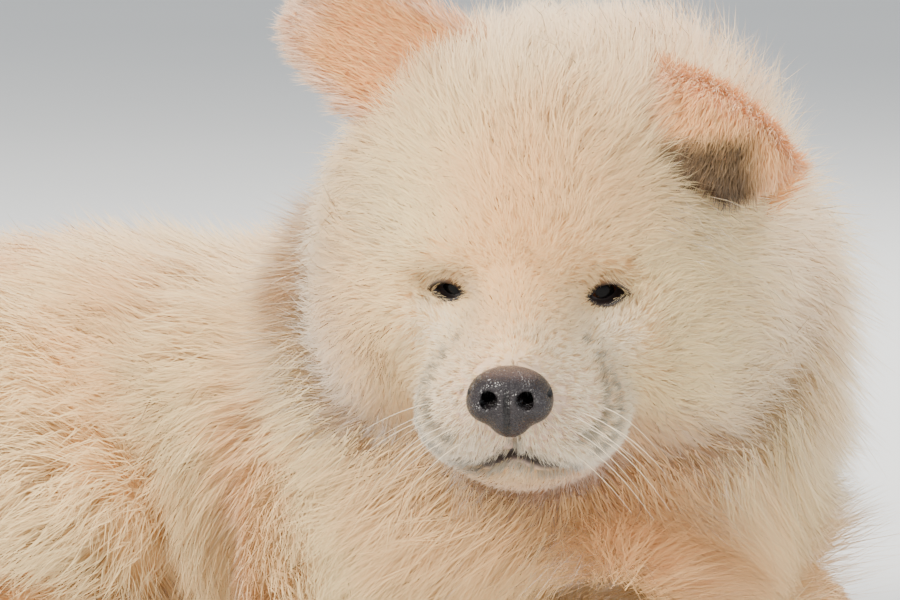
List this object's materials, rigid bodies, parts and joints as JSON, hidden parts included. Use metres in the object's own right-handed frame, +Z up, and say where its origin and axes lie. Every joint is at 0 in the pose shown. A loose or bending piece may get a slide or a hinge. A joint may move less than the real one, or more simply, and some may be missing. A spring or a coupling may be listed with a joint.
{
  "type": "lying chow chow puppy model",
  "caption": "Life-size still model of a fluffy cream chow chow puppy lying on its belly with its head up and turned to one side.",
  "frame": {"origin": "on the floor, on the flat under the middle of the trunk", "axes": "+X from rump to chest, +Y to the dog's left, +Z up; the head is turned to the dog's right"},
  "size_m": [0.4087, 0.2349, 0.2432],
  "materials": {
    "coat": "soft cream fur, apricot near the skin",
    "ear_fur": "short plush fur, apricot",
    "nose_leather": "damp, finely pebbled",
    "eye": "wet gloss"
  },
  "bodies": {
    "root": {"head": "coat", "neck": "coat", "torso": "coat", "tail": "coat", "foreleg_right": "coat", "foreleg_left": "coat", "forepaw_right": "coat", "forepaw_left": "coat", "hind_leg_right": "coat", "hind_leg_left": "coat", "hind_paw_right": "coat", "hind_paw_left": "coat", "ear_right": "ear_fur", "ear_left": "ear_fur", "nose": "nose_leather", "eye_right": "eye", "eye_left": "eye"}
  },
  "joints": []
}
